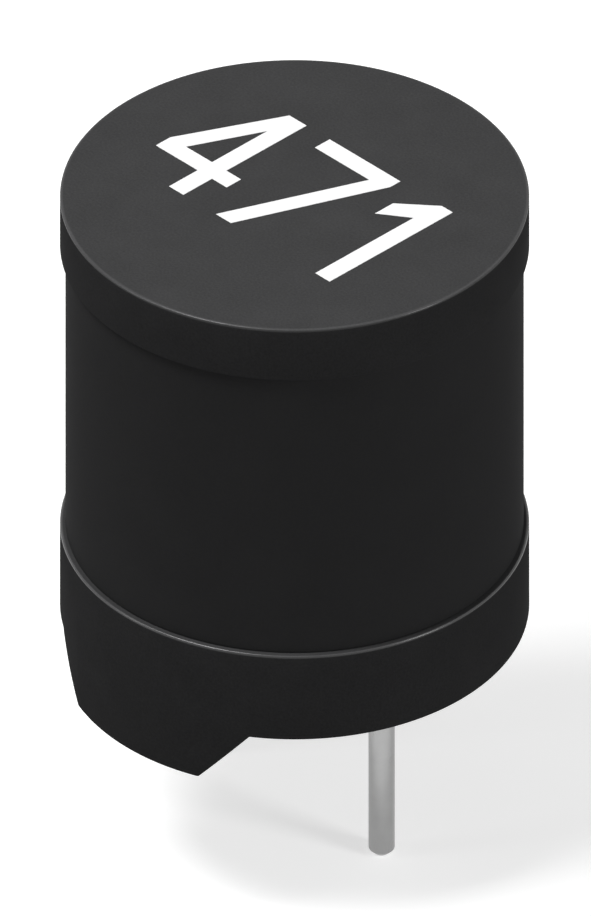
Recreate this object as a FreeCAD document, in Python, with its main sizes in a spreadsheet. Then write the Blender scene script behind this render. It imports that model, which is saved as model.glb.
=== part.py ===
import FreeCAD, Part

import math
import os

import Sketcher

# A radial drum core inductor, in millimetres.
# The frame: the origin is the centre of the plane that its two feet stand on, +Z runs up the
# drum's axis, the two pins stand along X and the two feet lie towards +Y and -Y.

# Name, size and meaning of each size that can be set by itself.
SIZES = [
    ("flange_diameter", 9.4, "both flanges of the drum core"),
    ("top_flange_thickness", 1.25, "upper flange"),
    ("lower_flange_thickness", 2.05, "lower flange, without its feet"),
    ("flange_edge_chamfer", 0.08, "chamfer on the flange rims"),
    ("window_height", 6.75, "room for the winding between the flanges"),
    ("post_diameter", 4.6, "centre post under the winding"),
    ("foot_height", 1.2, "seating plane to the underside of the lower flange"),
    ("foot_tip_spread", 43.0, "degrees of the rim that a foot spans, at the seating plane"),
    ("foot_root_spread", 69.2, "degrees of the rim that a foot spans, at the flange"),
    ("foot_side_turn", 28.0, "degrees that a foot's sides turn in towards the axis"),
    ("foot_tip_gap", 5.5, "between the two feet, at the seating plane"),
    ("foot_root_gap", 5.1, "between the two feet, at the flange"),
    ("foot_root_radius", 0.12, "rounding where a foot meets the flange"),
    ("sleeve_recess", 0.11, "from the flange rims in to the shrunk sleeve"),
    ("sleeve_wall", 0.25, "sleeve's thickness after shrinking"),
    ("lead_spacing", 5.0, "between the axes of the two pins"),
    ("pin_diameter", 0.53, "free length of a pin"),
    ("pin_root_diameter", 0.5, "slimmer end of a pin, in the core and under the solder"),
    ("pin_reach", 3.6, "pin below the seating plane"),
    ("pin_tip_chamfer", 0.13, "45 degree chamfer on the tip"),
    ("pin_shoulder_height", 0.05, "seating plane to the step between shank and root"),
    ("pin_seat_depth", 1.5, "pin inside the lower flange"),
    ("adhesive_gap", 0.18, "adhesive between a pin and its hole"),
    ("adhesive_pool", 0.1, "adhesive between a pin's end and the hole's floor"),
    ("adhesive_bead_width", 0.1, "bead of adhesive beyond the hole's edge"),
    ("adhesive_bead_height", 0.08, "bead of adhesive below the flange"),
    ("wire_diameter", 0.3, "enamelled winding wire"),
    ("wrap_gap", 0.02, "between a pin and the wire that winds round it"),
    ("wrap_spacing", 0.03, "between one turn round a pin and the next"),
    ("wrap_turns", 0.55, "turns that a wire end takes round its pin"),
    ("lead_clearance", 0.1, "between a wire end and its passage, all round"),
    ("lead_run", 1.2, "from a pin's axis to its wire passage, along Y"),
    ("lead_drop", 0.05, "between the flange and the wire that runs under it"),
    ("lead_bend_radius", 0.3, "bend of the wire as it leaves its passage"),
    ("lead_overlap", 0.2, "length of a wire end that lies inside the winding"),
    ("solder_diameter", 1.04, "solder joint at its widest"),
    ("solder_top_diameter", 0.84, "solder joint at its upper end"),
    ("solder_waist_height", 0.45, "seating plane to the solder joint's widest place"),
    ("solder_toe_height", 0.03, "seating plane to the solder's lowest point"),
]

# Heights above the seating plane and radii that several pieces share.
FLANGE_RADIUS = "sizes.flange_diameter / 2"
FLANGE_BASE = "sizes.foot_height"
WINDOW_FLOOR = "(sizes.foot_height + sizes.lower_flange_thickness)"
WINDOW_ROOF = "(sizes.foot_height + sizes.lower_flange_thickness + sizes.window_height)"
DRUM_TOP = f"({WINDOW_ROOF} + sizes.top_flange_thickness)"
POST_RADIUS = "sizes.post_diameter / 2"
SLEEVE_RADIUS = f"({FLANGE_RADIUS} - sizes.sleeve_recess)"
SLEEVE_BORE_RADIUS = f"({SLEEVE_RADIUS} - sizes.sleeve_wall)"
PIN_RADIUS = "sizes.pin_diameter / 2"
PIN_ROOT_RADIUS = "sizes.pin_root_diameter / 2"
PIN_TOP = "(sizes.foot_height + sizes.pin_seat_depth)"
PIN_HOLE_RADIUS = "(sizes.pin_root_diameter / 2 + sizes.adhesive_gap)"
PIN_HOLE_DEPTH = "(sizes.pin_seat_depth + sizes.adhesive_pool)"
PIN_OFFSET = "sizes.lead_spacing / 2"
WRAP_RADIUS = "(sizes.pin_root_diameter / 2 + sizes.wrap_gap + sizes.wire_diameter / 2)"
PASSAGE_RADIUS = "(sizes.wire_diameter / 2 + sizes.lead_clearance)"
PASSAGE_OFFSET = f"({PIN_OFFSET} + {WRAP_RADIUS})"
SOLDER_TOP = "(sizes.foot_height - sizes.adhesive_bead_height)"

# Where a foot's side, carried on to the drum's middle, passes the axis, by the rim it spans.
RIM_OFFSET = "sizes.flange_diameter / 2 * sin(sizes.{} / 2 - sizes.foot_side_turn)"

# The two sides, and how far each is turned about the drum's axis.
SIDES = [("right", 0), ("left", 180)]

# Two lengths that differ by less than this are the same.
TOLERANCE = 1e-6


def make_sheet(doc):
    """The driving sizes, one to a row, each under its own name."""
    sheet = doc.addObject("Spreadsheet::Sheet", "sizes")
    for row, (name, size, meaning) in enumerate(SIZES, start=1):
        sheet.set(f"A{row}", name)
        sheet.set(f"B{row}", str(size))
        sheet.set(f"C{row}", meaning)
        sheet.setAlias(f"B{row}", name)
    doc.recompute()
    return sheet


def new_body(doc, label):
    body = doc.addObject("PartDesign::Body", label)
    body.Label = label
    return body


def new_sketch(body, name, plane_role):
    """A sketch on one of the body's own origin planes."""
    sketch = body.newObject("Sketcher::SketchObject", name)
    planes = [feature for feature in body.Origin.OriginFeatures if feature.Role == plane_role]
    sketch.AttachmentSupport = [(planes[0], "")]
    sketch.MapMode = "FlatFace"
    return sketch


def value_of(sketch, expression):
    return float(sketch.evalExpression(expression))


def place_of(sketch, point):
    return FreeCAD.Vector(value_of(sketch, point[0]), value_of(sketch, point[1]), 0)


def bind(sketch, kind, *references, expression):
    """A dimension of the sketch that follows an expression of the sheet."""
    constraint = Sketcher.Constraint(kind, *references, value_of(sketch, expression))
    index = sketch.addConstraint(constraint)
    sketch.setExpression(f"Constraints[{index}]", expression)


def bind_point(sketch, edge, end, point):
    bind(sketch, "DistanceX", -1, 1, edge, end, expression=point[0])
    bind(sketch, "DistanceY", -1, 1, edge, end, expression=point[1])


def draw_outline(sketch, corners):
    """A closed outline of straight lines, each corner held by two dimensions."""
    places = [place_of(sketch, corner) for corner in corners]
    edges = []
    for index, place in enumerate(places):
        edges.append(sketch.addGeometry(Part.LineSegment(places[index - 1], place), False))
    for index, edge in enumerate(edges):
        following = edges[(index + 1) % len(edges)]
        sketch.addConstraint(Sketcher.Constraint("Coincident", edge, 2, following, 1))
        bind_point(sketch, edge, 2, corners[index])


def draw_circle(sketch, centre, radius):
    place = place_of(sketch, centre)
    circle = Part.Circle(place, FreeCAD.Vector(0, 0, 1), value_of(sketch, radius))
    edge = sketch.addGeometry(circle, False)
    bind_point(sketch, edge, 3, centre)
    bind(sketch, "Radius", edge, expression=radius)


def revolve(body, name, corners):
    """A full turn of a profile in the XZ plane about Z."""
    sketch = new_sketch(body, f"{name}_profile", "XZ_Plane")
    draw_outline(sketch, corners)
    turned = body.newObject("PartDesign::Revolution", name)
    turned.Profile = sketch
    turned.ReferenceAxis = (sketch, ["V_Axis"])
    turned.Angle = 360
    body.Document.recompute()
    return turned


def cut_through(body, name, plane_role, outlines):
    """Cut outlines right through the body, both ways from an origin plane."""
    sketch = new_sketch(body, f"{name}_outline", plane_role)
    for corners in outlines:
        draw_outline(sketch, corners)
    before = body.Shape.Volume
    pocket = body.newObject("PartDesign::Pocket", name)
    pocket.Profile = sketch
    pocket.Type = "ThroughAll"
    pocket.SideType = "Symmetric"
    finish_cut(body, name, before)
    return pocket


def sink_holes(body, name, centres, radius, depth):
    """Sink round holes upwards into the underside of the lower flange."""
    sketch = new_sketch(body, f"{name}_circles", "XY_Plane")
    sketch.setExpression("AttachmentOffset.Base.z", FLANGE_BASE)
    for centre in centres:
        draw_circle(sketch, centre, radius)
    before = body.Shape.Volume
    pocket = body.newObject("PartDesign::Pocket", name)
    pocket.Profile = sketch
    pocket.Type = "Length"
    pocket.setExpression("Length", depth)
    pocket.Reversed = True
    finish_cut(body, name, before)
    return pocket


def finish_cut(body, name, before):
    body.Document.recompute()
    if body.Shape.Volume >= before:
        raise RuntimeError(f"{name} cut nothing")


def break_edges(body, name, wanted, kind, dimension, size):
    """Chamfer or round the edges of the body that a test picks out."""
    base = body.Tip
    names = [f"Edge{i}" for i, edge in enumerate(base.Shape.Edges, start=1) if wanted(edge)]
    if not names:
        raise RuntimeError(f"{name} found no edge")
    broken = body.newObject(kind, name)
    broken.Base = (base, names)
    broken.setExpression(dimension, size)
    body.Document.recompute()
    return broken


def lies_on_rim(edge, radius, heights):
    """Is this edge part of a circle about the drum's axis, at one of these heights?"""
    curve = edge.Curve
    if not isinstance(curve, Part.Circle):
        return False
    centred = math.hypot(curve.Center.x, curve.Center.y) < TOLERANCE
    right_size = abs(curve.Radius - radius) < TOLERANCE
    return centred and right_size and any(abs(curve.Center.z - z) < TOLERANCE for z in heights)


def lies_in_plane(edge, height):
    box = edge.BoundBox
    return abs(box.ZMin - height) < TOLERANCE and abs(box.ZMax - height) < TOLERANCE


def twins(x, y):
    """A point and its twin across the drum's axis."""
    return [(x, y), (f"-({x})", f"-({y})")]


def make_drum_core(doc, sheet):
    """One piece of pressed ferrite: two flanges, the post between them and two feet.

    The feet are what is left of a thicker lower flange when its underside is cut away.
    """
    body = new_body(doc, "drum_core")
    revolve(
        body,
        "drum",
        [
            ("0", "0"),
            (FLANGE_RADIUS, "0"),
            (FLANGE_RADIUS, WINDOW_FLOOR),
            (POST_RADIUS, WINDOW_FLOOR),
            (POST_RADIUS, WINDOW_ROOF),
            (FLANGE_RADIUS, WINDOW_ROOF),
            (FLANGE_RADIUS, DRUM_TOP),
            ("0", DRUM_TOP),
        ],
    )
    shape_feet(body, sheet)
    drill_core(body)
    chamfer_rims(body, sheet)
    return body


def shape_feet(body, sheet):
    """Cut the flange's underside away beside the feet, then between them."""
    for foot, backwards in (("front", True), ("back", False)):
        for side, sign in (("right", 1), ("left", -1)):
            cut_beside_foot(body, f"{foot}_foot_{side}_side", sign, backwards)
    between = [
        ("-sizes.foot_tip_gap / 2", "0"),
        ("sizes.foot_tip_gap / 2", "0"),
        ("sizes.foot_root_gap / 2", FLANGE_BASE),
        ("-sizes.foot_root_gap / 2", FLANGE_BASE),
    ]
    cut_through(body, "foot_gap", "YZ_Plane", [between])
    break_edges(
        body,
        "foot_roots",
        lambda edge: isinstance(edge.Curve, Part.Line) and lies_in_plane(edge, sheet.foot_height),
        "PartDesign::Fillet",
        "Radius",
        "sizes.foot_root_radius",
    )


def cut_beside_foot(body, name, side, backwards):
    """Cut away the room on one side of a foot, whose side leans out and turns in to the axis."""
    turn = side if backwards else -side
    beside = [
        (f"{side} * {RIM_OFFSET.format('foot_tip_spread')}", "0"),
        (f"{side} * {FLANGE_RADIUS}", "0"),
        (f"{side} * {FLANGE_RADIUS}", FLANGE_BASE),
        (f"{side} * {RIM_OFFSET.format('foot_root_spread')}", FLANGE_BASE),
    ]
    sketch = new_sketch(body, f"{name}_outline", "XZ_Plane")
    upright = FreeCAD.Vector(0, 1, 0)
    sketch.AttachmentOffset = FreeCAD.Placement(FreeCAD.Vector(), FreeCAD.Rotation(upright, 1))
    sketch.setExpression("AttachmentOffset.Rotation.Angle", f"{turn} * sizes.foot_side_turn")
    draw_outline(sketch, beside)
    before = body.Shape.Volume
    pocket = body.newObject("PartDesign::Pocket", name)
    pocket.Profile = sketch
    pocket.Type = "ThroughAll"
    pocket.Reversed = backwards
    finish_cut(body, name, before)


def drill_core(body):
    """Blind holes for the pins, and a passage beside each for its wire."""
    pins = twins(PIN_OFFSET, "0")
    sink_holes(body, "pin_holes", pins, PIN_HOLE_RADIUS, PIN_HOLE_DEPTH)
    passages = twins(PASSAGE_OFFSET, "sizes.lead_run")
    sink_holes(body, "wire_passages", passages, PASSAGE_RADIUS, "sizes.lower_flange_thickness")


def chamfer_rims(body, sheet):
    """Break the outer edge of both flanges, and of the feet where they stand on the board."""
    floor = sheet.foot_height + sheet.lower_flange_thickness
    roof = floor + sheet.window_height
    rims = [0, sheet.foot_height, floor, roof, roof + sheet.top_flange_thickness]
    break_edges(
        body,
        "rims",
        lambda edge: lies_on_rim(edge, sheet.flange_diameter / 2, rims),
        "PartDesign::Chamfer",
        "Size",
        "sizes.flange_edge_chamfer",
    )


def make_ring(doc, label, inner, outer):
    """A plain ring that fills the height between the flanges."""
    body = new_body(doc, label)
    revolve(
        body,
        f"{label}_ring",
        [
            (inner, WINDOW_FLOOR),
            (outer, WINDOW_FLOOR),
            (outer, WINDOW_ROOF),
            (inner, WINDOW_ROOF),
        ],
    )
    return body


def lead_route(sheet):
    """Centre line of the right-hand wire end: down its passage, across to the pin and round it.

    The run slopes as the turns do, so it meets the first turn without a kink.
    """
    wire_radius = sheet.wire_diameter / 2
    wrap_radius = sheet.pin_root_diameter / 2 + sheet.wrap_gap + wire_radius
    pitch = sheet.wire_diameter + sheet.wrap_spacing
    slope = math.atan2(pitch, 2 * math.pi * wrap_radius)
    bend = sheet.lead_bend_radius
    across = sheet.lead_spacing / 2 + wrap_radius

    def bend_point(angle):
        """A point of the bend, by how far the wire has turned from upright."""
        along = sheet.lead_run - bend + bend * math.cos(angle)
        return FreeCAD.Vector(across, along, bend_height - bend * math.sin(angle))

    turned = math.pi / 2 - slope
    bend_height = sheet.foot_height - sheet.lead_drop - wire_radius + bend * math.sin(turned)
    coil_height = sheet.foot_height + sheet.lower_flange_thickness + sheet.lead_overlap
    top = FreeCAD.Vector(across, sheet.lead_run, coil_height)
    bend_start, bend_middle, bend_end = (bend_point(turned * share) for share in (0, 0.5, 1))
    meeting = FreeCAD.Vector(across, 0, bend_end.z - bend_end.y * math.tan(slope))
    drop = Part.LineSegment(top, bend_start).toShape()
    corner = Part.Arc(bend_start, bend_middle, bend_end).toBSpline().toShape()
    run = Part.LineSegment(bend_end, meeting).toShape()
    wraps = Part.makeHelix(pitch, pitch * sheet.wrap_turns, wrap_radius)
    wraps.rotate(FreeCAD.Vector(), FreeCAD.Vector(0, 0, 1), -360 * sheet.wrap_turns)
    wraps.translate(FreeCAD.Vector(sheet.lead_spacing / 2, 0, meeting.z - pitch * sheet.wrap_turns))
    return Part.Wire([drop, corner, run, *wraps.Edges])


def make_lead(doc, sheet, side, turn):
    """The bare end of the winding's own wire, from the coil to its pin."""
    route = lead_route(sheet)
    start = route.Edges[0].Vertexes[0].Point
    section = Part.Wire(Part.makeCircle(sheet.wire_diameter / 2, start, FreeCAD.Vector(0, 0, 1)))
    lead = doc.addObject("Part::Feature", f"lead_{side}")
    lead.Shape = route.makePipeShell([section], True, False)
    lead.Placement = FreeCAD.Placement(FreeCAD.Vector(), FreeCAD.Rotation(turn, 0, 0))
    return lead


def make_winding(doc, sheet):
    """One length of enamelled copper wire: the coil and both of its ends."""
    coil = make_ring(doc, "coil", POST_RADIUS, SLEEVE_BORE_RADIUS)
    leads = [make_lead(doc, sheet, side, turn) for side, turn in SIDES]
    winding = doc.addObject("Part::MultiFuse", "winding")
    winding.Shapes = [coil, *leads]
    winding.Label = "winding"
    return winding


def put_on_side(body, turn):
    """Stand a body that is drawn about Z on one of the two pin axes."""
    sign = 1 if turn == 0 else -1
    body.Placement = FreeCAD.Placement(FreeCAD.Vector(), FreeCAD.Rotation(turn, 0, 0))
    body.setExpression("Placement.Base.x", f"{sign} * {PIN_OFFSET}")


def make_pin(doc, side, turn):
    """Tinned pin of round wire: a shank for the board's hole and a slimmer root for the core."""
    body = new_body(doc, f"terminal_pin_{side}")
    revolve(
        body,
        f"pin_{side}",
        [
            (PIN_RADIUS, "-(sizes.pin_reach - sizes.pin_tip_chamfer)"),
            (PIN_RADIUS, "sizes.pin_shoulder_height"),
            (PIN_ROOT_RADIUS, "sizes.pin_shoulder_height"),
            (PIN_ROOT_RADIUS, PIN_TOP),
            ("0", PIN_TOP),
            ("0", "-sizes.pin_reach"),
            (f"{PIN_RADIUS} - sizes.pin_tip_chamfer", "-sizes.pin_reach"),
        ],
    )
    put_on_side(body, turn)
    return body


def make_adhesive(doc, side, turn):
    """Epoxy that holds a pin in its hole, with a small bead below the flange."""
    body = new_body(doc, f"pin_adhesive_{side}")
    hole_top = f"({FLANGE_BASE} + {PIN_HOLE_DEPTH})"
    bead_bottom = (PIN_HOLE_RADIUS, SOLDER_TOP)
    bead_edge = (f"({PIN_HOLE_RADIUS} + sizes.adhesive_bead_width)", FLANGE_BASE)
    revolve(
        body,
        f"adhesive_{side}",
        [
            (PIN_ROOT_RADIUS, SOLDER_TOP),
            bead_bottom,
            bead_edge,
            (PIN_HOLE_RADIUS, FLANGE_BASE),
            (PIN_HOLE_RADIUS, hole_top),
            ("0", hole_top),
            ("0", PIN_TOP),
            (PIN_ROOT_RADIUS, PIN_TOP),
        ],
    )
    put_on_side(body, turn)
    return body


def make_solder(doc, winding, side, turn):
    """Solder that joins a wire end to its pin, with the wire standing out of it."""
    blob = new_body(doc, f"solder_blob_{side}")
    toe = (PIN_RADIUS, "sizes.solder_toe_height")
    waist = ("sizes.solder_diameter / 2", "sizes.solder_waist_height")
    collar = ("sizes.solder_top_diameter / 2", SOLDER_TOP)
    revolve(
        blob,
        f"solder_{side}",
        [
            (PIN_ROOT_RADIUS, SOLDER_TOP),
            (PIN_ROOT_RADIUS, "sizes.pin_shoulder_height"),
            (PIN_RADIUS, "sizes.pin_shoulder_height"),
            toe,
            waist,
            collar,
        ],
    )
    put_on_side(blob, turn)
    joint = doc.addObject("Part::Cut", f"solder_joint_{side}")
    joint.Base = blob
    joint.Tool = winding
    joint.Label = f"solder_joint_{side}"
    return joint


def check_document(doc):
    """Stop if any object failed to build."""
    for item in doc.Objects:
        if "Invalid" in item.State or "Error" in item.State:
            raise RuntimeError(f"{item.Label} did not build: {item.State}")


def write_parts(parts):
    """Write each piece to a file that carries its name."""
    for part in parts:
        shape = part.Shape
        if shape.isNull() or not shape.isValid():
            raise RuntimeError(f"{part.Label} has no sound shape")
        print(part.Label, "solids", len(shape.Solids), "volume", round(shape.Volume, 4))
    for part in parts:
        part.Shape.exportStep(f"parts/{part.Label}.step")


def main():
    os.makedirs("parts", exist_ok=True)
    doc = FreeCAD.newDocument("drum_core_inductor")
    sheet = make_sheet(doc)
    winding = make_winding(doc, sheet)
    sleeve = make_ring(doc, "sleeve", SLEEVE_BORE_RADIUS, SLEEVE_RADIUS)
    parts = [make_drum_core(doc, sheet), winding, sleeve]
    for side, turn in SIDES:
        parts.append(make_pin(doc, side, turn))
        parts.append(make_adhesive(doc, side, turn))
        parts.append(make_solder(doc, winding, side, turn))
    doc.recompute()
    check_document(doc)
    write_parts(parts)


main()
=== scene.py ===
import math

import bmesh
import bpy
from mathutils import Matrix, Vector


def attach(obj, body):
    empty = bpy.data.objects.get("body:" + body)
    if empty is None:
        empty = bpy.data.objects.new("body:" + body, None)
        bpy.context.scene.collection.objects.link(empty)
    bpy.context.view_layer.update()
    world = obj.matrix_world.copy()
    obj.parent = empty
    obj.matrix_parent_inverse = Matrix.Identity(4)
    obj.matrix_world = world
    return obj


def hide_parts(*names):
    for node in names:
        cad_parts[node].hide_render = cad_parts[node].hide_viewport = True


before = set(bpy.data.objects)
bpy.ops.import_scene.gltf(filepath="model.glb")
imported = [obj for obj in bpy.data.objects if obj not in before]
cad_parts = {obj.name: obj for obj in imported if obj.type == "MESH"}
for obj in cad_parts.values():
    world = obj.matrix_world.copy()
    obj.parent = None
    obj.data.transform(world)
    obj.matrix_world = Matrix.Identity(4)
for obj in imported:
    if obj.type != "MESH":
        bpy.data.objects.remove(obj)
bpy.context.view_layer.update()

# The camera: a parallel view from above, about half way between the front foot and the right
# pin. Its frame is 591 by 917 pixels, at 49.94 to the millimetre.
MM = 0.001
PIXELS_PER_MM = 49.94
FRAME_HEIGHT = 917
TURN = math.radians(45.8)
RIGHT = Vector((math.cos(TURN), math.sin(TURN), 0))
AWAY = Vector((-math.sin(TURN), math.cos(TURN), 0))
UP = Vector((0, 0, 1))
BACK = (UP - AWAY * math.sqrt(2)).normalized()
CAMERA_AIM = RIGHT * 0.018 * MM + UP * 4.782 * MM
CAMERA_DISTANCE = 0.3

camera_data = bpy.data.cameras.new("camera")
camera_data.type = "ORTHO"
camera_data.ortho_scale = FRAME_HEIGHT / PIXELS_PER_MM * MM
camera_data.clip_start = 0.01
camera_data.clip_end = 2
camera = bpy.data.objects.new("camera", camera_data)
camera.location = CAMERA_AIM + BACK * CAMERA_DISTANCE
camera.rotation_mode = "QUATERNION"
camera.rotation_quaternion = (-BACK).to_track_quat("-Z", "Y")
bpy.context.scene.collection.objects.link(camera)
bpy.context.scene.camera = camera
bpy.context.scene.view_settings.view_transform = "Standard"


# Nodes: a signal is a socket of a material's or world's node tree, and sums can be written with
# it. A finish is a material whose signals start from the place on its piece.
class Signal:
    """A socket of a node tree, on which sums and other nodes can be written."""

    def __init__(self, tree, socket):
        self.tree = tree
        self.socket = socket

    def node(self, kind, settings=None, inputs=None, output=0):
        """Add a node: its settings first, then the values or signals of its sockets."""
        made = self.tree.nodes.new(kind)
        for name, value in (settings or {}).items():
            setattr(made, name, value)
        for name, value in (inputs or {}).items():
            if isinstance(value, Signal):
                self.tree.links.new(value.socket, made.inputs[name])
            else:
                made.inputs[name].default_value = value
        return Signal(self.tree, made.outputs[output]) if made.outputs else None

    def math(self, operation, first, second):
        return self.node("ShaderNodeMath", {"operation": operation}, {0: first, 1: second})

    def __add__(self, other):
        return self.math("ADD", self, other)

    def __sub__(self, other):
        return self.math("SUBTRACT", self, other)

    def __mul__(self, other):
        return self.math("MULTIPLY", self, other)

    def __pow__(self, other):
        return self.math("POWER", self, other)

    def distance(self):
        """How far a number is from nought."""
        return self.math("ABSOLUTE", self, 0)

    def around(self, middle, spread):
        """Noise of 0 to 1, moved and scaled to this spread round this middle."""
        return (self - 0.5) * spread + middle

    def step(self, start, end, low=0.0, high=1.0):
        """Rise or fall smoothly from low to high as the number goes from start to end."""
        return self.node(
            "ShaderNodeMapRange",
            {"interpolation_type": "SMOOTHSTEP"},
            {"Value": self, "From Min": start, "From Max": end, "To Min": low, "To Max": high},
        )

    def blend(self, low, high):
        """One colour where the number is 0, another where it is 1."""
        return self.node(
            "ShaderNodeMix", {"data_type": "RGBA"}, {"Factor": self, 6: low, 7: high}, output=2
        )


def new_tree(owner):
    """Empty the node tree of a material or a world."""
    owner.use_nodes = True
    owner.node_tree.nodes.clear()
    return Signal(owner.node_tree, None)


def new_finish(name):
    """A material, and the place on its piece as a signal."""
    finish = bpy.data.materials.new(name)
    place = new_tree(finish).node("ShaderNodeTexCoord", output="Object")
    return finish, place


def parts_of(place):
    """A place's x, y and z in millimetres."""
    split = place.node("ShaderNodeSeparateXYZ", None, {"Vector": place})
    outlets = split.socket.node.outputs
    return [Signal(place.tree, outlets[axis]) * (1 / MM) for axis in "XYZ"]


def grain(place, size_mm, detail=2.0):
    """Cloudy noise from 0 to 1 with spots of about this size."""
    return place.node(
        "ShaderNodeTexNoise",
        None,
        {"Vector": place, "Scale": 1 / (size_mm * MM), "Detail": detail},
    )


def bump(height, depth_mm, strength):
    """A bumpy normal from a height of 0 to 1 that stands for this depth."""
    return height.node(
        "ShaderNodeBump", None, {"Height": height, "Distance": depth_mm * MM, "Strength": strength}
    )


def coat(place, **sockets):
    """Close a material with its shader, each socket named with _ for a space."""
    inputs = {name.replace("_", " "): value for name, value in sockets.items()}
    shader = place.node("ShaderNodeBsdfPrincipled", None, inputs)
    place.node("ShaderNodeOutputMaterial", None, {"Surface": shader})


# The studio: a square soft lamp above on the left and a tall one at each side, over a white table
# that the pins stand on. Table and sky are white where the camera sees them or their reflection.
SKY_LIGHT = 0.16
TABLE_SHADE = 0.72
TABLE_GLOW = 0.6
TABLE_REACH = 1.5
TABLE_DEPTH = 3.603
LAMPS_AIM = UP * 5 * MM
LAMPS = (
    # The name, the place to the right, away and up from what it lights, the size and the watts.
    ("key_lamp", (-0.09, -0.03, 0.20), (0.08, 0.08), 0.40),
    ("left_lamp", (-0.19, -0.04, 0.06), (0.05, 0.12), 0.07),
    ("right_lamp", (0.165, -0.095, 0.06), (0.05, 0.12), 0.17),
)


def seen_directly(tree):
    """1 on rays from the camera and on reflected and refracted ones, and 0 on the others."""
    rays = tree.node("ShaderNodeLightPath").socket.node.outputs
    straight, reflected, refracted = (
        Signal(tree.tree, rays[f"Is {kind} Ray"]) for kind in ("Camera", "Glossy", "Transmission")
    )
    seen = tree.math("MAXIMUM", straight, reflected)
    return tree.math("MAXIMUM", seen, refracted)


world = bpy.data.worlds.new("white_sky")
bpy.context.scene.world = world
sky = new_tree(world)
sky_strength = seen_directly(sky).step(0, 1, SKY_LIGHT, 1.0)
background = sky.node(
    "ShaderNodeBackground", None, {"Color": (1, 1, 1, 1), "Strength": sky_strength}
)
sky.node("ShaderNodeOutputWorld", None, {"Surface": background})

table_mesh = bpy.data.meshes.new("table")
table_form = bmesh.new()
bmesh.ops.create_grid(
    table_form,
    x_segments=1,
    y_segments=1,
    size=TABLE_REACH,
    matrix=Matrix.Translation(UP * -TABLE_DEPTH * MM),
)
table_form.to_mesh(table_mesh)
table_form.free()
table = bpy.data.objects.new("table", table_mesh)
bpy.context.scene.collection.objects.link(table)

table_finish = bpy.data.materials.new("white_table")
paint = new_tree(table_finish)
glow = paint.node(
    "ShaderNodeEmission",
    None,
    {"Color": (1, 1, 1, 1), "Strength": seen_directly(paint) * TABLE_GLOW},
)
matt = paint.node("ShaderNodeBsdfDiffuse", None, {"Color": (TABLE_SHADE,) * 3 + (1,)})
lit = paint.node("ShaderNodeAddShader", None, {0: glow, 1: matt})
paint.node("ShaderNodeOutputMaterial", None, {"Surface": lit})
table_mesh.materials.append(table_finish)

for name, (right, away, up), (width, height), watts in LAMPS:
    lamp_data = bpy.data.lights.new(name, "AREA")
    lamp_data.shape = "RECTANGLE"
    lamp_data.size = width
    lamp_data.size_y = height
    lamp_data.energy = watts
    lamp = bpy.data.objects.new(name, lamp_data)
    lamp.location = LAMPS_AIM + UP * up + RIGHT * right + AWAY * away
    lamp.rotation_mode = "QUATERNION"
    lamp.rotation_quaternion = (LAMPS_AIM - lamp.location).to_track_quat("-Z", "Y")
    bpy.context.scene.collection.objects.link(lamp)


# Forms: a form is a bmesh in millimetres, which becomes an object in metres. Round forms are spun
# from a profile, and holes are cut out with a second form.
SIDES = ((1, "right"), (-1, "left"))
WIDE_STEPS = 256
COIL_STEPS = 128
NARROW_STEPS = 64
WELD = 1e-5


def new_object(name, form):
    """Turn a form drawn in millimetres into an object in metres."""
    mesh = bpy.data.meshes.new(name)
    bmesh.ops.scale(form, vec=(MM, MM, MM), verts=form.verts)
    form.to_mesh(mesh)
    form.free()
    made = bpy.data.objects.new(name, mesh)
    bpy.context.scene.collection.objects.link(made)
    return made


def smooth(piece, degrees=30):
    """Shade a piece smoothly, with its sharp edges kept and its flat faces flat."""
    piece.data.shade_smooth()
    piece.data.set_sharp_from_angle(angle=math.radians(degrees))
    weighted = piece.modifiers.new("flat_faces", "WEIGHTED_NORMAL")
    weighted.keep_sharp = True


def spin_profile(form, corners, steps, centre=(0, 0, 0)):
    """Turn a line of (radius, height) corners once round an upright axis."""
    middle = Vector(centre)
    line = [form.verts.new(middle + Vector((radius, 0, height))) for radius, height in corners]
    edges = [form.edges.new(pair) for pair in zip(line, line[1:])]
    bmesh.ops.spin(
        form,
        geom=line + edges,
        cent=middle,
        axis=(0, 0, 1),
        angle=2 * math.pi,
        steps=steps,
        use_merge=True,
    )


def close_form(form):
    """Weld the seams, cap the open ends and turn every face outwards."""
    bmesh.ops.remove_doubles(form, verts=form.verts, dist=WELD)
    open_edges = [edge for edge in form.edges if edge.is_boundary]
    bmesh.ops.holes_fill(form, edges=open_edges, sides=0)
    bmesh.ops.recalc_face_normals(form, faces=form.faces)


def add_block(form, low, high):
    """A box between two corners. Returns its corners."""
    low, high = Vector(low), Vector(high)
    spot = Matrix.Translation((low + high) / 2) @ Matrix.Diagonal((*(high - low), 1))
    return bmesh.ops.create_cube(form, size=1, matrix=spot)["verts"]


def round_edges(form, edges, width, segments=4):
    """Round edges of a form off by this width."""
    bmesh.ops.bevel(
        form,
        geom=edges,
        offset=width,
        offset_type="OFFSET",
        affect="EDGES",
        segments=segments,
        profile=0.5,
        material=-1,
        clamp_overlap=False,
    )


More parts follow.
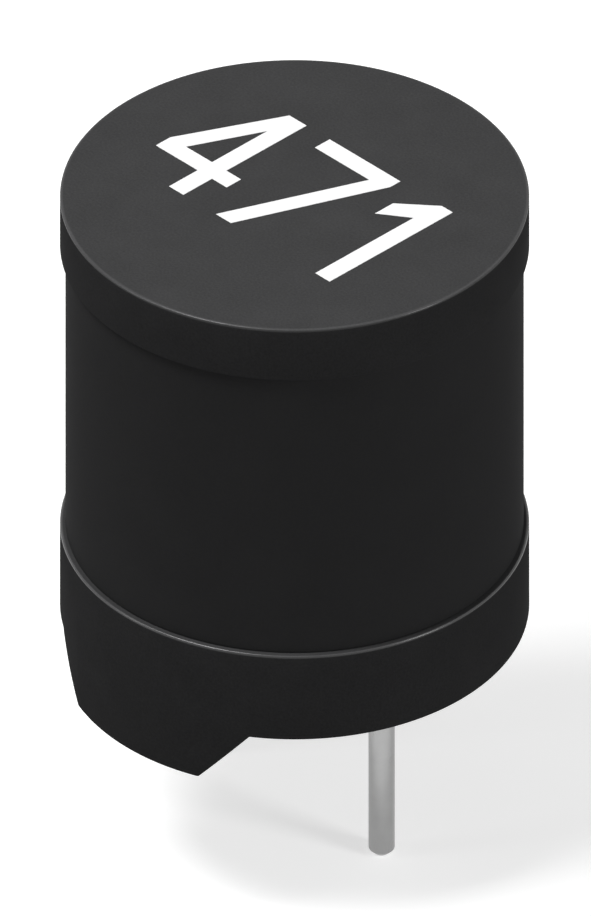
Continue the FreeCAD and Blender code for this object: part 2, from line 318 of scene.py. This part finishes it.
def cut(form, tool):
    """What is left of one form when another is cut out of it."""
    solid, cutter = (bpy.data.meshes.new("cutting") for _ in range(2))
    form.to_mesh(solid)
    tool.to_mesh(cutter)
    form.free()
    tool.free()
    solid_object, cutter_object = (bpy.data.objects.new("cutting", x) for x in (solid, cutter))
    for each in (solid_object, cutter_object):
        bpy.context.scene.collection.objects.link(each)
    boolean = solid_object.modifiers.new("cut", "BOOLEAN")
    boolean.operation = "DIFFERENCE"
    boolean.solver = "EXACT"
    boolean.use_self = True
    boolean.object = cutter_object
    shown = bpy.context.evaluated_depsgraph_get()
    left = bmesh.new()
    left.from_mesh(solid_object.evaluated_get(shown).to_mesh())
    for each in (solid_object, cutter_object):
        bpy.data.objects.remove(each)
    for each in (solid, cutter):
        bpy.data.meshes.remove(each)
    return left


# Drum core: two round flanges and the post between them, with two feet under the lower flange.
# One piece of ferrite powder, pressed, fired and tumbled, so it is matt grey-black with fine
# grain, and every outer edge is slightly rounded. Pins and wire ends enter from below.
FLANGE_RADIUS = 4.7
POST_RADIUS = 2.3
FOOT_HEIGHT = 1.2
WINDOW_FLOOR = 3.25
WINDOW_ROOF = 10.0
DRUM_TOP = 11.25
FOOT_TIP_SPREAD = 43.0
FOOT_ROOT_SPREAD = 69.2
FOOT_SIDE_TURN = 28.0
GAP_TIP_HALF = 2.75
GAP_ROOT_HALF = 2.55
RIM_ROUND = 0.035
FOOT_EDGE_ROUND = 0.03
PIN_X = 2.5
PIN_HOLE_RADIUS = 0.43
PIN_HOLE_TOP = 2.8
WIRE_X = 2.92
WIRE_Y = 1.2
WIRE_HOLE_RADIUS = 0.25
WIRE_HOLE_TOP = WINDOW_FLOOR + 0.1

# How far the blocks that cut the feet free stand out beside, between and below them.
SIDE_BLOCK_WIDTH = 7
GAP_BLOCK_REACH = 6
BLOCK_BOTTOM = -1

drum = bmesh.new()
spin_profile(
    drum,
    [
        (FLANGE_RADIUS, 0),
        (FLANGE_RADIUS, WINDOW_FLOOR),
        (POST_RADIUS, WINDOW_FLOOR),
        (POST_RADIUS, WINDOW_ROOF),
        (FLANGE_RADIUS, WINDOW_ROOF),
        (FLANGE_RADIUS, DRUM_TOP),
    ],
    WIDE_STEPS,
)
close_form(drum)

room = bmesh.new()
foot_tip, foot_root = (
    FLANGE_RADIUS * math.sin(math.radians(spread / 2 - FOOT_SIDE_TURN))
    for spread in (FOOT_TIP_SPREAD, FOOT_ROOT_SPREAD)
)
foot_draft = (foot_root - foot_tip) / FOOT_HEIGHT
half = SIDE_BLOCK_WIDTH / 2
for foot in (0, 180):
    for side, _ in SIDES:
        block = add_block(
            room,
            (side * half - half, -SIDE_BLOCK_WIDTH, BLOCK_BOTTOM),
            (side * half + half, 0, FOOT_HEIGHT),
        )
        for corner in block:
            if abs(corner.co.x) < half:
                corner.co.x = side * (foot_tip + foot_draft * corner.co.z)
        turn = Matrix.Rotation(math.radians(foot + side * FOOT_SIDE_TURN), 3, "Z")
        bmesh.ops.rotate(room, cent=(0, 0, 0), matrix=turn, verts=block)
gap_draft = (GAP_ROOT_HALF - GAP_TIP_HALF) / FOOT_HEIGHT
gap_block = add_block(
    room, (-GAP_BLOCK_REACH, -1, BLOCK_BOTTOM), (GAP_BLOCK_REACH, 1, FOOT_HEIGHT)
)
for corner in gap_block:
    corner.co.y *= GAP_TIP_HALF + gap_draft * corner.co.z
for side, _ in SIDES:
    for x, y, radius, top in (
        (PIN_X, 0, PIN_HOLE_RADIUS, PIN_HOLE_TOP),
        (WIRE_X, WIRE_Y, WIRE_HOLE_RADIUS, WIRE_HOLE_TOP),
    ):
        bmesh.ops.create_cone(
            room,
            cap_ends=True,
            segments=NARROW_STEPS,
            radius1=radius,
            radius2=radius,
            depth=top,
            matrix=Matrix.Translation((side * x, side * y, top / 2)),
        )
bmesh.ops.recalc_face_normals(room, faces=room.faces)

CUT_WELD = 1e-4
FLAT = math.radians(0.2)
core_form = cut(drum, room)
bmesh.ops.remove_doubles(core_form, verts=core_form.verts, dist=CUT_WELD)
bmesh.ops.dissolve_limit(
    core_form,
    angle_limit=FLAT,
    use_dissolve_boundaries=False,
    verts=core_form.verts,
    edges=core_form.edges,
)

SHARP = math.radians(25)
MARGIN = 0.01
HOLES_REACH = 3.6
HOLES_HALF = 1.6
WINDOW_REACH = 4.5


def is_outer_edge(edge):
    """A sharp edge of the core that is neither a hole's rim nor inside the winding's room."""
    if not edge.is_manifold or edge.calc_face_angle() < SHARP:
        return False
    x, y, z = (edge.verts[0].co + edge.verts[1].co) / 2
    reach = math.hypot(x, y)
    in_hole = z < WINDOW_FLOOR and reach < HOLES_REACH and abs(y) < HOLES_HALF
    in_window = WINDOW_FLOOR - MARGIN <= z <= WINDOW_ROOF + MARGIN and reach < WINDOW_REACH
    return not (in_hole or in_window)


outer_edges = [edge for edge in core_form.edges if is_outer_edge(edge)]
rims = [edge for edge in outer_edges if edge.verts[0].co.z > WINDOW_FLOOR - MARGIN]
foot_edges = [edge for edge in outer_edges if edge not in rims]
round_edges(core_form, foot_edges, FOOT_EDGE_ROUND)
round_edges(core_form, rims, RIM_ROUND)
core = new_object("core_body", core_form)
smooth(core)

# The top and the ledge of the lower flange get a lighter colour than the sides: painted light on
# the faces that look up, painted shade on the sides. Their rims are a little glossy.
FERRITE_TOP_PAINTED_LIT = (0.054, 0.054, 0.055, 1)
FERRITE_SIDE_PAINTED_SHADE = (0.019, 0.019, 0.0194, 1)
FERRITE_LEDGE_PAINTED_LIT = (0.05, 0.05, 0.051, 1)
FACE_START = 0.03
FACE_FULL = 0.005
RUBBED_START = 0.07
RUBBED_FULL = 0.03

ferrite, place = new_finish("sintered_ferrite")
x, y, z = parts_of(place)
reach = (x * x + y * y) ** 0.5
fine = grain(place, 0.05)
cloudy = grain(place, 0.9, 3)
# Painted light: one ferrite in a lit copy on the top face and a shaded copy on the sides.
painted_lit_top = z.step(DRUM_TOP - FACE_START, DRUM_TOP - FACE_FULL)
# Painted light: the up-facing ledge gets the lighter, lit colour too.
painted_lit_ledge = (z - WINDOW_FLOOR).distance().step(FACE_START, FACE_FULL)
painted_light_tone = painted_lit_top.blend(FERRITE_SIDE_PAINTED_SHADE, FERRITE_TOP_PAINTED_LIT)
painted_light_tone = painted_lit_ledge.blend(painted_light_tone, FERRITE_LEDGE_PAINTED_LIT)
ledge_rim, top_rim = (
    (((reach - FLANGE_RADIUS) ** 2 + (z - rim) ** 2) ** 0.5).step(RUBBED_START, RUBBED_FULL)
    for rim in (WINDOW_FLOOR, DRUM_TOP)
)
speckle = (fine - 0.5) * 0.5 + (cloudy - 0.5) * 0.25 + 1
painted_light_tone = painted_light_tone.node(
    "ShaderNodeMix",
    {"data_type": "RGBA", "blend_type": "MULTIPLY"},
    {"Factor": 1.0, 6: painted_light_tone, 7: speckle},
    output=2,
)
coat(
    place,
    Base_Color=painted_light_tone,
    Roughness=fine.around(0.85, 0.2),
    Normal=bump(fine, 0.006, 0.5),
    Specular_IOR_Level=0.01,
    Coat_Weight=(ledge_rim + top_rim * 0.6) * 0.9,
    Coat_Roughness=0.25,
)
core.data.materials.append(ferrite)
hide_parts("drum_core")
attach(core, "root")


# Sleeve: a length of black heat-shrink tube over the winding, shrunk on until it fills the room
# between the flanges. Thin polyolefin, satin, with soft ends that butt against the ferrite.
SLEEVE_RADIUS = 4.59
SLEEVE_BORE = 4.34
SLEEVE_END_ROUND = 0.03
SLEEVE_DARK = (0.0152, 0.0152, 0.0155, 1)
SLEEVE_LIGHT = (0.022, 0.022, 0.0225, 1)

sleeve_form = bmesh.new()
spin_profile(
    sleeve_form,
    [
        (SLEEVE_BORE, WINDOW_FLOOR),
        (SLEEVE_RADIUS, WINDOW_FLOOR),
        (SLEEVE_RADIUS, WINDOW_ROOF),
        (SLEEVE_BORE, WINDOW_ROOF),
        (SLEEVE_BORE, WINDOW_FLOOR),
    ],
    WIDE_STEPS,
)
close_form(sleeve_form)
mid_wall = (SLEEVE_BORE + SLEEVE_RADIUS) / 2
sleeve_ends = [
    edge
    for edge in sleeve_form.edges
    if edge.calc_face_angle() > SHARP and math.hypot(*edge.verts[0].co.xy) > mid_wall
]
round_edges(sleeve_form, sleeve_ends, SLEEVE_END_ROUND)
tube = new_object("sleeve_tube", sleeve_form)
smooth(tube)

shrink_tube, place = new_finish("black_shrink_tube")
fine = grain(place, 0.06)
cloudy = grain(place, 1.2)
coat(
    place,
    Base_Color=(fine * 0.6 + cloudy * 0.4).blend(SLEEVE_DARK, SLEEVE_LIGHT),
    Roughness=cloudy.around(0.75, 0.09),
    Normal=bump(fine * 0.5 + cloudy * 0.5, 0.004, 0.5),
    Specular_IOR_Level=0.01,
)
tube.data.materials.append(shrink_tube)
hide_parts("sleeve")
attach(tube, "root")


# Pins: two straight lengths of tinned round wire, set in blind holes of the lower flange.
# Each is chamfered at its tip and a little slimmer from its shoulder up into the core.
PIN_RADIUS = 0.265
PIN_ROOT_RADIUS = 0.25
PIN_TIP = -3.6
PIN_TIP_CHAMFER = 0.13
PIN_TIP_ROUND = 0.02
PIN_SHOULDER = 0.05
PIN_TOP = 2.7
TIN_DARK = (0.33, 0.33, 0.33, 1)
TIN_LIGHT = (0.38, 0.38, 0.378, 1)

tin, place = new_finish("bright_tin")
stretched = place.node("ShaderNodeMapping", None, {"Vector": place, "Scale": (1.0, 1.0, 0.04)})
drawn = grain(stretched, 0.04)
cloudy = grain(place, 0.35)
coat(
    place,
    Base_Color=cloudy.blend(TIN_DARK, TIN_LIGHT),
    Metallic=1.0,
    Roughness=cloudy.around(0.3, 0.12) + (drawn - 0.5) * 0.1,
    Normal=bump(drawn, 0.002, 0.4),
)

for side, name in SIDES:
    pin_form = bmesh.new()
    spin_profile(
        pin_form,
        [
            (PIN_RADIUS - PIN_TIP_CHAMFER, PIN_TIP),
            (PIN_RADIUS, PIN_TIP + PIN_TIP_CHAMFER),
            (PIN_RADIUS, PIN_SHOULDER),
            (PIN_ROOT_RADIUS, PIN_SHOULDER),
            (PIN_ROOT_RADIUS, PIN_TOP),
        ],
        NARROW_STEPS,
        (side * PIN_X, 0, 0),
    )
    close_form(pin_form)
    tip_edges = [
        edge
        for edge in pin_form.edges
        if edge.verts[0].co.z < 0 and abs(edge.verts[0].co.z - edge.verts[1].co.z) < WELD
    ]
    round_edges(pin_form, tip_edges, PIN_TIP_ROUND, 3)
    pin = new_object(f"pin_{name}", pin_form)
    smooth(pin)
    pin.data.materials.append(tin)
    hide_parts(f"terminal_pin_{name}")
    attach(pin, "root")


# Winding: one length of enamelled copper wire. The coil fills the room between post and sleeve;
# each end comes down its passage, bends, runs on a slope to its pin and hooks round it.
WIRE_RADIUS = 0.15
WIRE_STEPS = 24
WIRE_START = 3.45
WIRE_DROP = 0.05
BEND_RADIUS = 0.3
BEND_STEPS = 12
HOOK_RADIUS = 0.42
HOOK_PITCH = 0.33
HOOK_TURNS = 0.55
HOOK_STEPS = 40
ENAMEL_DARK = (0.36, 0.115, 0.045, 1)
ENAMEL_LIGHT = (0.46, 0.17, 0.075, 1)

hook_slope = math.atan2(HOOK_PITCH, 2 * math.pi * HOOK_RADIUS)
bend_angle = math.pi / 2 - hook_slope
bend_height = FOOT_HEIGHT - WIRE_DROP - WIRE_RADIUS + BEND_RADIUS * math.sin(bend_angle)
bend_end = Vector((WIRE_X, WIRE_Y - BEND_RADIUS + BEND_RADIUS * math.cos(bend_angle), 0))
run = Vector((0, -bend_end.y, -bend_end.y * math.tan(hook_slope)))


def add_wire_end(form, turn):
    """Draw one end of the wire, from inside the coil to the tip of its hook."""
    start = Matrix.Translation((WIRE_X, WIRE_Y, WIRE_START))
    ring = bmesh.ops.create_circle(
        form, radius=WIRE_RADIUS, segments=WIRE_STEPS, matrix=start
    )["verts"]
    made = list(ring)
    front = list({edge for vert in ring for edge in vert.link_edges})

    def draw_on(vector):
        """Carry the front of the wire on in a straight line."""
        grown = bmesh.ops.extrude_edge_only(form, edges=front)["geom"]
        fresh = [item for item in grown if isinstance(item, bmesh.types.BMVert)]
        bmesh.ops.translate(form, vec=vector, verts=fresh)
        made.extend(fresh)
        edges = [item for item in grown if isinstance(item, bmesh.types.BMEdge)]
        return [edge for edge in edges if edge.is_boundary]

    def swing_on(middle, axis, angle, steps, sink):
        """Carry the front of the wire on round an axis, sinking a little at each step."""
        known = set(form.verts)
        grown = bmesh.ops.spin(
            form,
            geom=front,
            cent=middle,
            axis=axis,
            dvec=(0, 0, -sink),
            angle=angle,
            steps=steps,
        )["geom_last"]
        made.extend(vert for vert in form.verts if vert not in known)
        return [item for item in grown if isinstance(item, bmesh.types.BMEdge)]

    front = draw_on(Vector((0, 0, bend_height - WIRE_START)))
    middle = (WIRE_X, WIRE_Y - BEND_RADIUS, bend_height)
    front = swing_on(middle, (-1, 0, 0), bend_angle, BEND_STEPS, 0)
    front = draw_on(run)
    sink = HOOK_PITCH * HOOK_TURNS / HOOK_STEPS
    swing_on((PIN_X, 0, 0), (0, 0, -1), 2 * math.pi * HOOK_TURNS, HOOK_STEPS, sink)
    bmesh.ops.rotate(form, cent=(0, 0, 0), matrix=Matrix.Rotation(turn, 3, "Z"), verts=made)


wire_ends = {}
for side, name in SIDES:
    wire_ends[name] = bmesh.new()
    add_wire_end(wire_ends[name], 0 if side > 0 else math.pi)
    close_form(wire_ends[name])

wire_form = bmesh.new()
spin_profile(
    wire_form,
    [
        (POST_RADIUS, WINDOW_FLOOR),
        (SLEEVE_BORE, WINDOW_FLOOR),
        (SLEEVE_BORE, WINDOW_ROOF),
        (POST_RADIUS, WINDOW_ROOF),
        (POST_RADIUS, WINDOW_FLOOR),
    ],
    COIL_STEPS,
)
close_form(wire_form)
for wire_end in wire_ends.values():
    end_mesh = bpy.data.meshes.new("wire_end")
    wire_end.to_mesh(end_mesh)
    wire_form.from_mesh(end_mesh)
    bpy.data.meshes.remove(end_mesh)
winding = new_object("winding_wire", wire_form)
smooth(winding, 40)

enamel, place = new_finish("copper_enamel")
cloudy = grain(place, 0.4)
fine = grain(place, 0.04)
coat(
    place,
    Base_Color=cloudy.blend(ENAMEL_DARK, ENAMEL_LIGHT),
    Metallic=0.6,
    Roughness=fine.around(0.28, 0.15),
    Normal=bump(fine, 0.002, 0.3),
    Coat_Weight=0.6,
    Coat_Roughness=0.1,
)
winding.data.materials.append(enamel)
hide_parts("winding")
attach(winding, "root")


# Adhesive: dark epoxy that fills each blind hole round its pin, with a small bead that has
# crept out on to the flange. Glossy where it cured in air.
BEAD_RADIUS = 0.53
BEAD_BOTTOM = 1.12
BEAD_STEPS = 6
EPOXY_DARK = (0.07, 0.045, 0.026, 1)
EPOXY_LIGHT = (0.11, 0.075, 0.045, 1)

epoxy, place = new_finish("dark_epoxy")
cloudy = grain(place, 0.3)
coat(
    place,
    Base_Color=cloudy.blend(EPOXY_DARK, EPOXY_LIGHT),
    Roughness=cloudy.around(0.22, 0.1),
    Normal=bump(cloudy, 0.01, 0.4),
)

bead_width = BEAD_RADIUS - PIN_HOLE_RADIUS
bead_depth = FOOT_HEIGHT - BEAD_BOTTOM
bead = [
    (PIN_HOLE_RADIUS + bead_width * math.sin(angle), FOOT_HEIGHT - bead_depth * math.cos(angle))
    for angle in (math.pi / 2 * step / BEAD_STEPS for step in range(BEAD_STEPS + 1))
]
for side, name in SIDES:
    fill_form = bmesh.new()
    spin_profile(
        fill_form,
        [
            (PIN_ROOT_RADIUS, PIN_TOP),
            (PIN_ROOT_RADIUS, BEAD_BOTTOM),
            *bead,
            (PIN_HOLE_RADIUS, FOOT_HEIGHT),
            (PIN_HOLE_RADIUS, PIN_HOLE_TOP),
        ],
        NARROW_STEPS,
        (side * PIN_X, 0, 0),
    )
    close_form(fill_form)
    fill = new_object(f"epoxy_{name}", fill_form)
    smooth(fill, 40)
    fill.data.materials.append(epoxy)
    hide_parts(f"pin_adhesive_{name}")
    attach(fill, "root")


# Solder: tin that has run round each pin and its wire hook, thin at the toe, full at the waist.
# The wire's outer side still stands out of it.
SOLDER_TOE = 0.03
SOLDER_BELLY = (
    # The radius and height of each corner, from above the toe through the waist to the top.
    (0.30, 0.08),
    (0.375, 0.18),
    (0.45, 0.29),
    (0.50, 0.38),
    (0.52, 0.45),
    (0.514, 0.54),
    (0.497, 0.66),
    (0.472, 0.8),
    (0.448, 0.95),
    (0.42, BEAD_BOTTOM),
)
SOLDER_DARK = (0.5, 0.5, 0.505, 1)
SOLDER_LIGHT = (0.64, 0.64, 0.645, 1)

solder, place = new_finish("tin_solder")
cloudy = grain(place, 0.25)
fine = grain(place, 0.05)
coat(
    place,
    Base_Color=cloudy.blend(SOLDER_DARK, SOLDER_LIGHT),
    Metallic=1.0,
    Roughness=fine.around(0.32, 0.2),
    Normal=bump(cloudy * 0.7 + fine * 0.3, 0.03, 0.5),
)

for side, name in SIDES:
    blob = bmesh.new()
    spin_profile(
        blob,
        [
            (PIN_ROOT_RADIUS, BEAD_BOTTOM),
            (PIN_ROOT_RADIUS, PIN_SHOULDER),
            (PIN_RADIUS, PIN_SHOULDER),
            (PIN_RADIUS, SOLDER_TOE),
            *SOLDER_BELLY,
            (PIN_ROOT_RADIUS, BEAD_BOTTOM),
        ],
        NARROW_STEPS,
        (side * PIN_X, 0, 0),
    )
    close_form(blob)
    joint = new_object(f"solder_{name}", cut(blob, wire_ends[name]))
    smooth(joint, 50)
    joint.data.materials.append(solder)
    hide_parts(f"solder_joint_{name}")
    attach(joint, "root")


# Ink: a three-figure value code stamped in white on the top flange, read along the pins' line.
# Each figure is drawn with plain straight strokes of even thickness.
FIGURE_HEIGHT = 3.44
FIGURE_WIDTH = 2.03
FIGURE_PITCH = 2.275
FIGURES_X = 0.13
FIGURES_Y = 0.12
STROKE = 0.41
INK_THICKNESS = 0.005
INK_DARK = (0.93, 0.93, 0.93, 1)
INK_LIGHT = (0.99, 0.99, 0.99, 1)

ink, place = new_finish("white_ink")
fine = grain(place, 0.05)
coat(
    place,
    Base_Color=fine.blend(INK_DARK, INK_LIGHT),
    Roughness=fine.around(0.55, 0.2),
    Normal=bump(fine, 0.003, 0.4),
    Specular_IOR_Level=0.3,
)

# Each figure is a list of closed outlines; one that lies inside another is a hole.
H, W, S = FIGURE_HEIGHT, FIGURE_WIDTH, STROKE
BAR_LOW, BAR_HIGH = 0.8, 1.2
FOUR_STEM = 1.2
ONE_STEM = 0.85
FOUR = [
    [
        (FOUR_STEM, 0),
        (FOUR_STEM, BAR_LOW),
        (0, BAR_LOW),
        (0, BAR_HIGH),
        (1.12, H),
        (FOUR_STEM + S, H),
        (FOUR_STEM + S, BAR_HIGH),
        (W, BAR_HIGH),
        (W, BAR_LOW),
        (FOUR_STEM + S, BAR_LOW),
        (FOUR_STEM + S, 0),
    ],
    [(0.45, BAR_HIGH), (FOUR_STEM, BAR_HIGH), (FOUR_STEM, 2.75)],
]
SEVEN = [[(0, H), (W, H), (W, H - 0.28), (0.7, 0), (0.27, 0), (1.56, H - S), (0, H - S)]]
ONE = [
    [
        (ONE_STEM, 0),
        (ONE_STEM, 2.75),
        (0.2, 2.3),
        (0.2, 2.8),
        (0.95, H),
        (ONE_STEM + S, H),
        (ONE_STEM + S, 0),
    ]
]

for index, outlines in enumerate((FOUR, SEVEN, ONE)):
    flat = bpy.data.curves.new("figure", "CURVE")
    flat.dimensions = "2D"
    flat.fill_mode = "BOTH"
    flat.extrude = INK_THICKNESS * MM
    for outline in outlines:
        spline = flat.splines.new("POLY")
        spline.points.add(len(outline) - 1)
        spline.use_cyclic_u = True
        for point, (across, along) in zip(spline.points, outline):
            point.co = (across * MM, along * MM, 0, 1)
    flat_figure = bpy.data.objects.new("figure", flat)
    bpy.context.scene.collection.objects.link(flat_figure)
    shown = bpy.context.evaluated_depsgraph_get()
    mesh = bpy.data.meshes.new_from_object(flat_figure.evaluated_get(shown))
    bpy.data.objects.remove(flat_figure)
    corner = ((index - 1) * FIGURE_PITCH - W / 2 + FIGURES_X, FIGURES_Y - H / 2, DRUM_TOP)
    mesh.transform(Matrix.Translation(Vector(corner) * MM))
    figure = bpy.data.objects.new(f"ink_figure_{index + 1}", mesh)
    bpy.context.scene.collection.objects.link(figure)
    mesh.materials.append(ink)
    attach(figure, "root")
